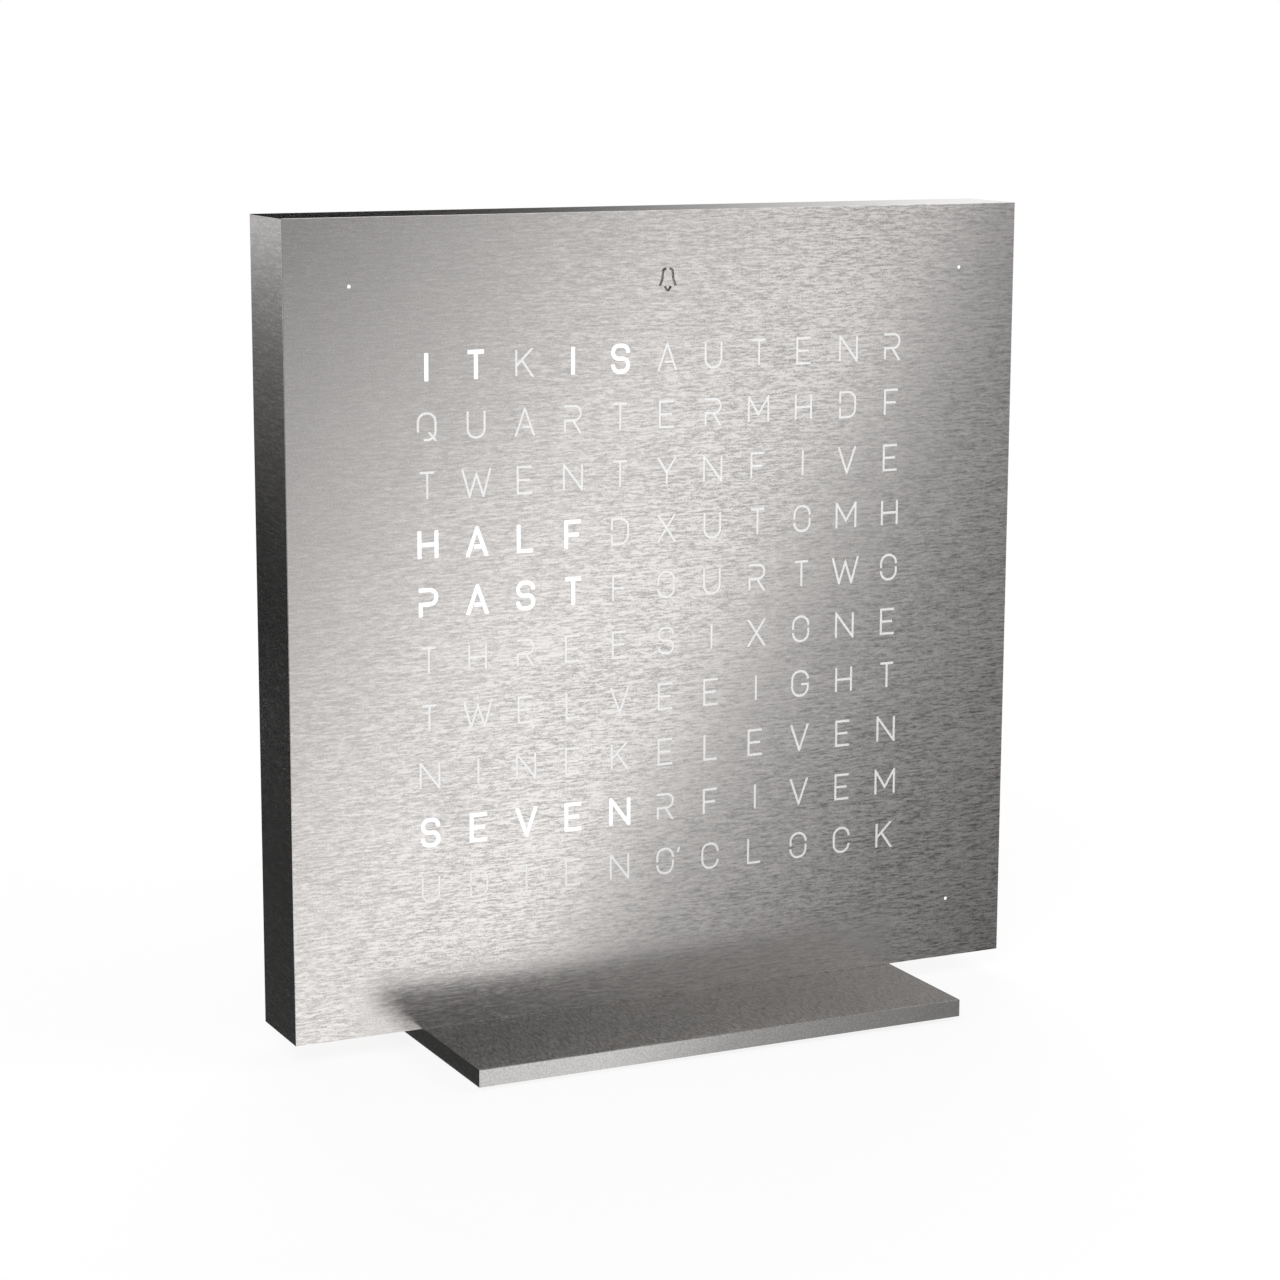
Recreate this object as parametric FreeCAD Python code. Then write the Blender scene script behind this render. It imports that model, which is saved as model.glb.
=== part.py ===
import FreeCAD, Part

import math
import os

from FreeCAD import Vector

# A desk clock that tells the time in lit words. A square steel cover with cut-out letters
# stands on a steel base plate, and holds a light grid, a board of lamps and a rear cover.
# Lengths are in millimetres. X runs to the right, Y from the face to the rear and Z up.
# The origin is in the middle of the base plate, on the surface the clock stands on.

# ---------------------------------------------------------------- driving dimensions

# housing
face_width = 135.0
face_height = 135.0
housing_depth = 18.0        # from the face to the back of the rear cover
rear_proud = 3.0            # how far the rear cover stands out of the steel cover
sheet = 1.0
edge_radius = 0.1           # of the steel's edges
moulded_radius = 0.3        # of the moulded parts' edges

# base plate
plate_width = 90.0
plate_depth = 60.0
plate_thickness = 3.0
plate_front = 24.0          # how far the plate reaches in front of the face
pad_diameter = 10.0
pad_thickness = 0.8
pad_inset = 9.0             # from the plate's edges to a pad's centre

# face: letters, minute dots and alarm sign
column_pitch = 8.66
row_pitch = 9.64
grid_drop = 0.15            # the block of letters sits this far below the face's middle
cap_height = 4.75
usual_letter_width = 3.8    # the dots stand midway between such letters and the edge
stroke = 0.44
bowl_radius = 1.45
dot_diameter = 0.6
bell_height = 4.1
bell_width = 3.35
bell_bend = 0.3
bell_drop = 0.5             # of the bell's middle below the upper dots

# stack behind the face
fit_gap = 0.5               # round the parts that lie inside the cover
diffuser_thickness = 0.8
grid_wall = 1.0
boss_diameter = 9.0
board_thickness = 1.6
board_gap = 2.5             # from the board's edge to the cover's side
part_gap = 0.6              # between the parts on the board and the rear cover
rear_wall = 2.0
rim_depth = 4.0
rim_wall = 1.6
rim_gap = 0.3

# fasteners
stud_diameter = 5.0
thread_gap = 0.05           # between a screw and its hole, on the radius
pass_gap = 0.2              # between a screw and a hole that it passes through
rear_screw_diameter = 2.5
rear_screw_length = 7.0
board_screw_diameter = 2.0
board_screw_head = 1.4
boss_floor = 1.8            # left in front of a board screw's tip
base_screw_diameter = 3.0
base_screw_bite = 5.0       # of a base screw in the bar
base_screw_pitch = 28.0
recess_depth = 1.0          # of the driver's recess in each screw's head
bar_height = 6.0
bar_depth = 5.0
bar_margin = 6.0            # from the outer base screws to the bar's ends
bar_gap = 0.5

# lamps and electronics
lamp_width = 3.5
lamp_height = 2.8
lamp_depth = 0.8
controller_side = 10.0
controller_depth = 1.4
driver_length = 15.4
driver_width = 7.5
driver_depth = 2.3
lead_reach = 1.2
lead_width = 0.3
regulator_length = 6.5
regulator_width = 3.5
regulator_depth = 1.6
coil_side = 6.0
coil_depth = 3.0
crystal_length = 10.0
crystal_width = 4.7
crystal_depth = 3.5
crystal_flange = 0.4
capacitor_diameter = 6.3
capacitor_depth = 5.4
capacitor_foot = 1.0
capacitor_foot_side = 6.6
cell_diameter = 20.0
cell_thickness = 3.2
holder_wall = 1.6
holder_floor = 0.8
clip_width = 4.0
clip_thickness = 0.3
buzzer_diameter = 12.0
buzzer_depth = 5.0
sound_hole = 1.4
sound_pitch = 2.8
spring_width = 3.0
spring_thickness = 0.25
spring_foot = 4.0

# power socket, to the common small oval plug
socket_width = 8.94
socket_height = 3.26
socket_wall = 0.3
socket_recess = 0.4         # of its mouth in the rear cover
socket_floor = 1.2
tongue_width = 6.7
tongue_thickness = 0.7
tongue_back = 1.6           # how far the tongue ends inside the socket's mouth
socket_gap = 0.3

# buttons
button_diameter = 6.5
button_proud = 0.8
button_travel = 0.5
button_gap = 0.3            # round the button, on the radius
button_pitch = 14.0
flange_diameter = 8.4
flange_thickness = 0.8
flange_gap = 0.1
mark_depth = 0.3
mark_width = 0.6
mark_length = 2.6
stem_diameter = 2.6
least_stem = 1.3            # from a button's flange to its switch
switch_side = 6.0
switch_depth = 3.2
switch_pin = 1.0
plunger_diameter = 3.0
plunger_gap = 0.3
plunger_proud = 1.0

# ---------------------------------------------------------------- the words

WORDS = [
    "ITKISAUTENR",
    "QUARTERMHDF",
    "TWENTYNFIVE",
    "HALFDXUTOMH",
    "PASTFOURTWO",
    "THREESIXONE",
    "TWELVEEIGHT",
    "NINEKELEVEN",
    "SEVENRFIVEM",
    "UDTENOCLOCK",
]
columns = len(WORDS[0])
rows = len(WORDS)

# Each letter is its width, as a share of its height, and its strokes. A stroke's points are
# across and up the letter, from 0 to 1, and a point that ends in BOWL is rounded. The gaps
# hold the islands inside a letter.
BOWL = True
LETTERS = {
    "A": (0.76, [[(-0.06, -0.12), (0.5, 1), (1.06, -0.12)], [(0.36, 0.3), (0.84, 0.3)]]),
    "C": (0.72, [[(1, 0.66), (1, 1, BOWL), (0, 1, BOWL), (0, 0, BOWL), (1, 0, BOWL), (1, 0.34)]]),
    "D": (0.72, [[(0, 0.4), (0, 0), (1, 0, BOWL), (1, 1, BOWL), (0, 1), (0, 0.56)]]),
    "E": (0.65, [[(1, 1), (0, 1), (0, 0), (1, 0)], [(0, 0.5), (0.86, 0.5)]]),
    "F": (0.63, [[(1, 1), (0, 1), (0, 0)], [(0, 0.5), (0.86, 0.5)]]),
    "G": (0.74, [[(1, 0.66), (1, 1, BOWL), (0, 1, BOWL), (0, 0, BOWL), (1, 0, BOWL),
                 (1, 0.46), (0.56, 0.46)]]),
    "H": (0.72, [[(0, 0), (0, 1)], [(1, 0), (1, 1)], [(0, 0.5), (1, 0.5)]]),
    "I": (0, [[(0, 0), (0, 1)]]),
    "K": (0.72, [[(0, 0), (0, 1)], [(0, 0.4), (1.07, 1.12)], [(0.36, 0.58), (1.08, -0.12)]]),
    "L": (0.61, [[(0, 1), (0, 0), (1, 0)]]),
    "M": (0.88, [[(0, 0), (0, 1), (0.5, 0.3), (1, 1), (1, 0)]]),
    "N": (0.79, [[(0, 0), (0, 1), (1, 0), (1, 1)]]),
    "O": (0.72, [[(0, 0.48), (0, 1, BOWL), (1, 1, BOWL), (1, 0.64)],
                [(1, 0.52), (1, 0, BOWL), (0, 0, BOWL), (0, 0.36)]]),
    "P": (0.67, [[(0, 0), (0, 0.45), (1, 0.45, BOWL), (1, 1, BOWL), (-0.08, 1)]]),
    "Q": (0.74, [[(0, 0.3), (0, 1, BOWL), (1, 1, BOWL), (1, 0, BOWL), (0.32, 0)],
                [(0.6, 0.3), (1.1, -0.12)]]),
    "R": (0.69, [[(0, 0), (0, 0.45), (1, 0.45, BOWL), (1, 1, BOWL), (-0.08, 1)],
                [(0.5, 0.45), (1.07, -0.12)]]),
    "S": (0.67, [[(1, 0.74), (1, 1, BOWL), (0, 1, BOWL), (0, 0.5, BOWL), (1, 0.5, BOWL),
                 (1, 0, BOWL), (0, 0, BOWL), (0, 0.26)]]),
    "T": (0.65, [[(0, 1), (1, 1)], [(0.5, 1), (0.5, 0)]]),
    "U": (0.72, [[(0, 1), (0, 0, BOWL), (1, 0, BOWL), (1, 1)]]),
    "V": (0.76, [[(-0.06, 1.12), (0.5, 0), (1.06, 1.12)]]),
    "W": (1.12, [[(-0.03, 1.12), (0.25, 0), (0.5, 0.84), (0.75, 0), (1.03, 1.12)]]),
    "X": (0.74, [[(-0.1, -0.12), (1.1, 1.12)], [(-0.1, 1.12), (1.1, -0.12)]]),
    "Y": (0.74, [[(-0.12, 1.12), (0.5, 0.46), (1.12, 1.12)], [(0.5, 0.5), (0.5, 0)]]),
}
# the bell of the alarm sign: two flaring sides, and the clapper between their ends
BELL = [
    [(0.4, 1), (0.21, 0.95, BOWL), (0.15, 0.52, BOWL), (0, 0.22)],
    [(0.6, 1), (0.79, 0.95, BOWL), (0.85, 0.52, BOWL), (1, 0.22)],
    [(0.31, 0.2), (0.5, -0.07, BOWL), (0.69, 0.2)],
]
# the tick after the O of the last row, from the middle of its cell in letter heights
TICK = [(0.58, 0.48), (0.5, 0.28)]
TICK_CELL = (5, rows - 1)

# ---------------------------------------------------------------- places worked out

body_bottom = pad_thickness + plate_thickness
body_middle = body_bottom + face_height / 2
body_top = body_bottom + face_height
half_width = face_width / 2
inner_half_width = half_width - sheet
inner_half_height = face_height / 2 - sheet

# The space behind the board holds the tallest of the parts on it, and the buttons with
# their switches. The light grid fills what the housing's depth leaves.
button_stack = switch_depth + plunger_proud + least_stem + flange_thickness + flange_gap
cell_stack = holder_floor + cell_thickness + clip_thickness + part_gap
can_stack = max(capacitor_depth, buzzer_depth, crystal_depth) + part_gap
rear_space = max(button_stack, cell_stack, can_stack)

face_y = plate_front - plate_depth / 2
sheet_y = face_y + sheet
grid_y = sheet_y + diffuser_thickness
rear_y = face_y + housing_depth
rear_inner_y = rear_y - rear_wall
rim_y = rear_inner_y - rim_depth
parts_y = rear_inner_y - rear_space
board_y = parts_y - board_thickness
cover_end_y = rear_y - rear_proud

letters_middle = body_middle - grid_drop
letters_half_width = columns * column_pitch / 2
letters_edge = (columns - 1) / 2 * column_pitch + usual_letter_width / 2
letters_rise = (rows - 1) / 2 * row_pitch + cap_height / 2
dot_x = (letters_edge + half_width) / 2
high_dot_z = (letters_middle + letters_rise + body_top) / 2
low_dot_z = (letters_middle - letters_rise + body_bottom) / 2

grid_half_width = inner_half_width - fit_gap
grid_half_height = inner_half_height - fit_gap
board_half_width = inner_half_width - board_gap
board_half_height = inner_half_height - board_gap
side_x = (letters_half_width + board_half_width) / 2
board_screw_tip_y = grid_y + boss_floor

bar_half_width = base_screw_pitch + bar_margin
bar_y = parts_y + fit_gap
bar_middle_y = bar_y + bar_depth / 2
bar_floor = body_bottom + sheet
bar_top = bar_floor + bar_height

# places on the board, across and up from the middle of the face
controller_at = (6.0, 2.0)
crystal_at = (6.0, -10.5)
driver_spots = [(-28.0, -10.0), (-28.0, -26.0), (28.0, -26.0), (6.0, -26.0)]
capacitor_spots = [(18.0, -44.0), (27.0, -44.0), (36.0, -44.0)]
cell_at = (-28.0, 26.0)
buzzer_at = (12.0, 34.0)
regulator_at = (-20.0, -44.0)
coil_at = (-32.0, -44.0)
spring_up = 12.0            # of the touch spring above the face's middle
socket_rise = 16.5          # of the power socket above the body's bottom
button_inset = 22.0         # from the board's side to the buttons
first_button_drop = 32.0    # of the upper button below the board's top edge


def column_x(column):
    return (column - (columns - 1) / 2) * column_pitch


def row_z(row):
    return letters_middle + ((rows - 1) / 2 - row) * row_pitch


STUDS = [(side * side_x, row_z(row)) for side in (-1, 1) for row in (2, rows - 3)]
BOARD_SCREWS = [(side * side_x, z) for side in (-1, 1)
                for z in (row_z(0), letters_middle, row_z(rows - 1))]
BASE_SCREWS = [turn * base_screw_pitch for turn in (-1, 0, 1)]
DOTS = [(side * dot_x, z) for side in (-1, 1) for z in (low_dot_z, high_dot_z)]
SIGN = (0, high_dot_z - bell_drop)
CELLS = [(column_x(column), row_z(row)) for row in range(rows) for column in range(columns)]
button_x = board_half_width - button_inset
first_button_z = body_middle + board_half_height - first_button_drop
BUTTONS = {name: first_button_z - place * button_pitch
           for place, name in enumerate(["function", "plus", "minus"])}

# ---------------------------------------------------------------- helpers


def block(x0, x1, y0, y1, z0, z1):
    return Part.makeBox(x1 - x0, y1 - y0, z1 - z0, Vector(x0, y0, z0))


def block_at(x, z, width, height, y0, y1):
    """A block from y0 to y1 whose middle is at x, z."""
    return block(x - width / 2, x + width / 2, y0, y1, z - height / 2, z + height / 2)


def rod(x, z, diameter, y0, y1):
    """A round rod along Y from y0 to y1."""
    return Part.makeCylinder(diameter / 2, y1 - y0, Vector(x, y0, z), Vector(0, 1, 0))


def post(x, y, diameter, z0, z1):
    """A round rod along Z from z0 to z1."""
    return Part.makeCylinder(diameter / 2, z1 - z0, Vector(x, y, z0), Vector(0, 0, 1))


def hexagon(centre, across_flats, axis, length):
    """A hexagonal prism that starts at centre and runs along axis."""
    side = Vector(1, 0, 0)
    corner = side * (across_flats / math.sqrt(3))
    turn = FreeCAD.Rotation(axis, 60)
    points = [centre + corner]
    for _ in range(6):
        corner = turn.multVec(corner)
        points.append(centre + corner)
    return Part.Face(Part.makePolygon(points)).extrude(axis * length)


def on_board(place):
    """Turn a place across and up from the face's middle into x, z."""
    return place[0], body_middle + place[1]


def band(points, width):
    """A flat stroke along points, drawn in the plane Y = 0.

    A point is (x, z), or (x, z, radius) where the stroke bends round a curve."""
    spots = [Vector(point[0], 0, point[1]) for point in points]
    runs = [b - a for a, b in zip(spots, spots[1:])]
    ways = [Vector(run).normalize() for run in runs]
    normals = [Vector(-way.z, 0, way.x) for way in ways]
    bends = [point[2] if len(point) > 2 else 0 for point in points]
    last = len(spots) - 1
    half = width / 2

    def room(i, neighbour, run):
        """The length of a run that the curve at point i may take."""
        shared = bends[i] and bends[neighbour]
        return run.Length * (0.48 if shared else 0.96)

    def side_edges(side):
        here = spots[0] + normals[0] * (side * half)
        edges = []
        for i in range(1, last):
            before, after = normals[i - 1], normals[i]
            if bends[i]:
                slope = math.tan(ways[i - 1].getAngle(ways[i]) / 2)
                reach = min(bends[i] * slope, room(i, i - 1, runs[i - 1]),
                            room(i, i + 1, runs[i]))
                radius = reach / slope
                inward = 1 if before.dot(ways[i]) > 0 else -1
                middle = spots[i] - ways[i - 1] * reach + before * (inward * radius)
                start = spots[i] - ways[i - 1] * reach + before * (side * half)
                end = spots[i] + ways[i] * reach + after * (side * half)
                outward = (spots[i] - middle).normalize()
                top = middle + outward * (radius - side * inward * half)
                edges.append(Part.makeLine(here, start))
                edges.append(Part.Arc(start, top, end).toShape())
                here = end
            else:
                mitre = (before + after) * (side * half / (1 + before.dot(after)))
                edges.append(Part.makeLine(here, spots[i] + mitre))
                here = spots[i] + mitre
        end = spots[last] + normals[-1] * (side * half)
        edges.append(Part.makeLine(here, end))
        return edges, end

    left, left_end = side_edges(1)
    right, right_end = side_edges(-1)
    start_cap = Part.makeLine(right[0].Vertexes[0].Point, left[0].Vertexes[0].Point)
    end_cap = Part.makeLine(left_end, right_end)
    return Part.Face(Part.Wire(Part.__sortEdges__(left + [end_cap] + right + [start_cap])))


def one_face_set(faces):
    """Join flat faces that overlap, and return the faces left."""
    if len(faces) == 1:
        return faces[0].Faces
    return faces[0].multiFuse(faces[1:]).removeSplitter().Faces


def drawn(strokes, width, height, bend):
    """Faces of strokes whose points run from 0 to 1 across and up, about the origin."""
    across = max(width - stroke, 0)
    up = height - stroke
    faces = []
    for line in strokes:
        points = [((p[0] - 0.5) * across, (p[1] - 0.5) * up) + ((bend,) if len(p) > 2 else ())
                  for p in line]
        faces.append(band(points, stroke))
    limit = block_at(0, 0, 2 * (width + height), height, -stroke, stroke)
    trimmed = [piece for face in faces for piece in face.common(limit).Faces]
    return one_face_set(trimmed)


def slot_solids(faces, x, z):
    """Cutters through the steel sheet, for faces drawn about the origin."""
    margin = sheet / 2
    solids = []
    for face in faces:
        flat = face.copy()
        flat.translate(Vector(x, face_y - margin, z))
        solids.append(flat.extrude(Vector(0, sheet + 2 * margin, 0)))
    return solids


def cross_recess(x, y, z, size, depth):
    """The cross cut into the head of a screw whose top is at y, facing the rear."""
    bars = [block_at(x, z, size, size / 4, y - depth, y + depth),
            block_at(x, z, size / 4, size, y - depth, y + depth)]
    return bars[0].fuse(bars[1])


def group(shapes):
    return Part.makeCompound(shapes)


# ---------------------------------------------------------------- cover, face and light


def letter_slots():
    """Cutters for every letter, the tick, the minute dots and the alarm sign."""
    drawings = {
        name: drawn(strokes, width * cap_height, cap_height, bowl_radius)
        for name, (width, strokes) in LETTERS.items()
    }
    slots = []
    for row, line in enumerate(WORDS):
        for column, name in enumerate(line):
            slots += slot_solids(drawings[name], column_x(column), row_z(row))
    tick = [(x * cap_height, z * cap_height) for x, z in TICK]
    slots += slot_solids([band(tick, stroke)], column_x(TICK_CELL[0]), row_z(TICK_CELL[1]))
    slots += slot_solids(drawn(BELL, bell_width, bell_height, bell_bend), *SIGN)
    for x, z in DOTS:
        slots.append(rod(x, z, dot_diameter, face_y - sheet, sheet_y + sheet))
    return slots


def front_cover():
    """A folded tray of steel sheet, open to the rear, with the letters cut through its face."""
    outer = block_at(0, body_middle, face_width, face_height, face_y, cover_end_y)
    folds = [edge for edge in outer.Edges
             if any(vertex.Point.y < cover_end_y - sheet for vertex in edge.Vertexes)]
    outer = outer.makeFillet(edge_radius, folds)
    hollow = block_at(0, body_middle, 2 * inner_half_width, 2 * inner_half_height,
                      sheet_y, cover_end_y + sheet)
    hole = base_screw_diameter + 2 * pass_gap
    holes = [post(x, bar_middle_y, hole, body_bottom - sheet, body_bottom + 2 * sheet)
             for x in BASE_SCREWS]
    tray = outer.cut([hollow] + holes)
    return tray.cut(letter_slots())


def cover_studs():
    """Threaded studs bonded behind the face, which carry the rear cover."""
    hole = rear_screw_diameter + 2 * thread_gap
    depth = rear_screw_length
    return group([
        rod(x, z, stud_diameter, sheet_y, rear_inner_y).cut(
            rod(x, z, hole, rear_inner_y - depth, rear_inner_y + 1))
        for x, z in STUDS])


def diffuser_sheet():
    """A thin white sheet right behind the face."""
    sheet_solid = block_at(0, body_middle, 2 * grid_half_width, 2 * grid_half_height,
                           sheet_y, grid_y)
    hole = stud_diameter + 2 * pass_gap
    return sheet_solid.cut([rod(x, z, hole, sheet_y - 1, grid_y + 1) for x, z in STUDS])


def lattice_lines(count, pitch, middle, low, high):
    """Centre lines of the walls: the outer wall at low, the cell walls, the one at high."""
    first = middle - count * pitch / 2
    return [low] + [first + i * pitch for i in range(count + 1)] + [high]


def light_grid():
    """A moulded lattice with one cell behind each letter, dot and sign."""
    half_wall = grid_wall / 2
    low_z = body_middle - grid_half_height + half_wall
    high_z = body_middle + grid_half_height - half_wall
    edge_x = grid_half_width - half_wall
    lines_x = lattice_lines(columns, column_pitch, 0, -edge_x, edge_x)
    lines_z = lattice_lines(rows, row_pitch, letters_middle, low_z, high_z)
    outer = block_at(0, body_middle, 2 * grid_half_width, 2 * grid_half_height, grid_y, board_y)
    cells = [block(x0 + half_wall, x1 - half_wall, grid_y - 1, board_y + 1,
                   z0 + half_wall, z1 - half_wall)
             for x0, x1 in zip(lines_x, lines_x[1:])
             for z0, z1 in zip(lines_z, lines_z[1:])]
    bosses = [rod(x, z, boss_diameter, grid_y, board_y) for x, z in STUDS + BOARD_SCREWS]
    stud_hole = stud_diameter + 2 * pass_gap
    screw_hole = board_screw_diameter + 2 * thread_gap
    holes = [rod(x, z, stud_hole, grid_y - 1, board_y + 1) for x, z in STUDS]
    holes += [rod(x, z, screw_hole, board_screw_tip_y - thread_gap, board_y + 1)
              for x, z in BOARD_SCREWS]
    lattice = outer.cut(cells).fuse([boss.common(outer) for boss in bosses])
    return lattice.cut(holes).removeSplitter()


# ---------------------------------------------------------------- board and electronics


def led_board():
    board = block_at(0, body_middle, 2 * board_half_width, 2 * board_half_height,
                     board_y, parts_y)
    stud_hole = stud_diameter + 2 * pass_gap
    screw_hole = board_screw_diameter + 2 * pass_gap
    holes = [rod(x, z, stud_hole, board_y - 1, parts_y + 1) for x, z in STUDS]
    holes += [rod(x, z, screw_hole, board_y - 1, parts_y + 1) for x, z in BOARD_SCREWS]
    return board.cut(holes)


def lamps():
    """One small lamp on the front of the board for each letter, dot and sign."""
    window = min(lamp_width, lamp_height) * 0.75
    lamp = block_at(0, 0, lamp_width, lamp_height, board_y - lamp_depth, board_y)
    lamp = lamp.cut(rod(0, 0, window, board_y - lamp_depth - 1, board_y - lamp_depth * 0.7))
    solids = []
    for x, z in CELLS + DOTS + [SIGN]:
        solid = lamp.copy()
        solid.translate(Vector(x, 0, z))
        solids.append(solid)
    return group(solids)


def chip(place, length, width, depth, leads, sides):
    """A flat chip with rows of leads on two or four sides, on the back of the board."""
    x, z = on_board(place)
    body_y = parts_y + lead_width
    pieces = [block_at(x, z, length, width, body_y, parts_y + depth)]
    middle_y = parts_y + depth / 2
    for side in (-1, 1):
        for i in range(leads):
            along = (i + 0.5) / leads - 0.5
            tips = [(x + along * length * 0.94, z + side * (width + lead_reach) / 2, False)]
            if sides == 4:
                tips.append((x + side * (length + lead_reach) / 2, z + along * width * 0.94, True))
            for lead_x, lead_z, sideways in tips:
                wide, tall = (lead_reach, lead_width) if sideways else (lead_width, lead_reach)
                pieces.append(block_at(lead_x, lead_z, wide, tall, parts_y, middle_y))
    return pieces[0].fuse(pieces[1:])


def controller_chip():
    return chip(controller_at, controller_side, controller_side, controller_depth, 11, 4)


def driver_chips():
    return group([chip(spot, driver_length, driver_width, driver_depth, 12, 2)
                  for spot in driver_spots])


def clock_crystal():
    """The can of the crystal that keeps the time, with round ends and a flanged foot."""
    x, z = on_board(crystal_at)
    reach = (crystal_length - crystal_width) / 2

    def oval(diameter, y0, y1):
        ends = [rod(x + side * reach, z, diameter, y0, y1) for side in (-1, 1)]
        return block_at(x, z, 2 * reach, diameter, y0, y1).fuse(ends).removeSplitter()

    top_y = parts_y + crystal_flange
    can = oval(crystal_width - 2 * crystal_flange, top_y, parts_y + crystal_depth)
    return oval(crystal_width, parts_y, top_y).fuse(can)


def board_capacitors():
    side = capacitor_foot_side
    foot_y = parts_y + capacitor_foot
    cans = []
    for spot in capacitor_spots:
        x, z = on_board(spot)
        foot = block_at(x, z, side, side, parts_y, foot_y)
        can = rod(x, z, capacitor_diameter, foot_y, parts_y + capacitor_depth)
        cans.append(foot.fuse(can))
    return group(cans)


def voltage_regulator():
    return chip(regulator_at, regulator_length, regulator_width, regulator_depth, 3, 2)


def power_coil():
    """A square inductor with a round wound core."""
    x, z = on_board(coil_at)
    flange = coil_depth / 4
    foot = block_at(x, z, coil_side, coil_side, parts_y, parts_y + flange)
    core = rod(x, z, coil_side * 0.7, parts_y + flange, parts_y + coil_depth - flange)
    head = rod(x, z, coil_side * 0.95, parts_y + coil_depth - flange, parts_y + coil_depth)
    return foot.fuse([core, head])


def coin_cell_holder():
    x, z = on_board(cell_at)
    pocket = cell_diameter + 2 * pass_gap
    side = pocket + 2 * holder_wall
    seat_y = parts_y + holder_floor
    body = block_at(x, z, side, side, parts_y, seat_y + cell_thickness)
    finger_notch = block_at(x, z - side / 2, pocket / 3, side / 2, seat_y, rear_inner_y)
    return body.cut([rod(x, z, pocket, seat_y, rear_inner_y), finger_notch])


def coin_cell():
    x, z = on_board(cell_at)
    seat_y = parts_y + holder_floor
    step = cell_thickness / 4
    small_end = rod(x, z, cell_diameter * 0.87, seat_y, seat_y + step)
    return small_end.fuse(rod(x, z, cell_diameter, seat_y + step, seat_y + cell_thickness))


def cell_clip():
    """The sprung strip over the coin cell, soldered to the board at both ends."""
    x, z = on_board(cell_at)
    reach = cell_diameter / 2 + pass_gap + holder_wall + clip_thickness
    top_y = parts_y + holder_floor + cell_thickness
    outer = block(x - reach, x + reach, parts_y, top_y + clip_thickness,
                  z - clip_width / 2, z + clip_width / 2)
    inner = block(x - reach + clip_thickness, x + reach - clip_thickness, parts_y, top_y,
                  z - clip_width / 2, z + clip_width / 2)
    return outer.cut(inner)


def buzzer():
    """The round sounder of the alarm, with a hole in its top."""
    x, z = on_board(buzzer_at)
    end_y = parts_y + buzzer_depth
    body = rod(x, z, buzzer_diameter, parts_y, end_y)
    rim = [edge for edge in body.Edges
           if edge.Closed and abs(edge.Vertexes[0].Point.y - end_y) < 0.01]
    body = body.makeFillet(buzzer_depth / 10, rim)
    return body.cut(rod(x, z, buzzer_diameter / 5, end_y - buzzer_depth / 2, end_y + 1))


def touch_spring():
    """A leaf spring from the board to the cover's side: touching the cover acts as a key."""
    foot_y = parts_y + spring_thickness / 2
    tip_x = -inner_half_width + spring_thickness / 2
    tip_y = rim_y - spring_thickness
    bend_x = -board_half_width + spring_thickness
    path = [(bend_x + spring_foot, foot_y), (bend_x, foot_y), (tip_x, tip_y)]
    leaf = band(path, spring_thickness)
    leaf.rotate(Vector(0, 0, 0), Vector(1, 0, 0), -90)
    leaf.translate(Vector(0, 0, body_middle + spring_up - spring_width / 2))
    return leaf.extrude(Vector(0, 0, spring_width))


def board_screws():
    head = 2 * board_screw_diameter
    head_y = parts_y + board_screw_head
    screws = []
    for x, z in BOARD_SCREWS:
        shank = rod(x, z, board_screw_diameter, board_screw_tip_y, parts_y)
        top = rod(x, z, head, parts_y, head_y)
        cross = cross_recess(x, head_y, z, head * 0.6, recess_depth)
        screws.append(shank.fuse(top).cut(cross))
    return group(screws)


# ---------------------------------------------------------------- power socket

socket_x = 0.0
socket_z = body_bottom + socket_rise
socket_end_y = rear_y - socket_recess


def oval_rod(width, height, y0, y1):
    """A rod along Y at the socket whose section is a slot with round ends."""
    reach = (width - height) / 2
    ends = [rod(socket_x + side * reach, socket_z, height, y0, y1) for side in (-1, 1)]
    return block_at(socket_x, socket_z, 2 * reach, height, y0, y1).fuse(ends).removeSplitter()


def power_socket():
    """The steel shell of the power socket, which stands on the board and faces the rear."""
    shell = oval_rod(socket_width, socket_height, parts_y, socket_end_y)
    wall = 2 * socket_wall
    return shell.cut(oval_rod(socket_width - wall, socket_height - wall,
                              parts_y + socket_floor, socket_end_y + 1))


def socket_tongue():
    start_y = parts_y + socket_floor
    return block_at(socket_x, socket_z, tongue_width, tongue_thickness,
                    start_y, socket_end_y - tongue_back)


# ---------------------------------------------------------------- rear cover


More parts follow.
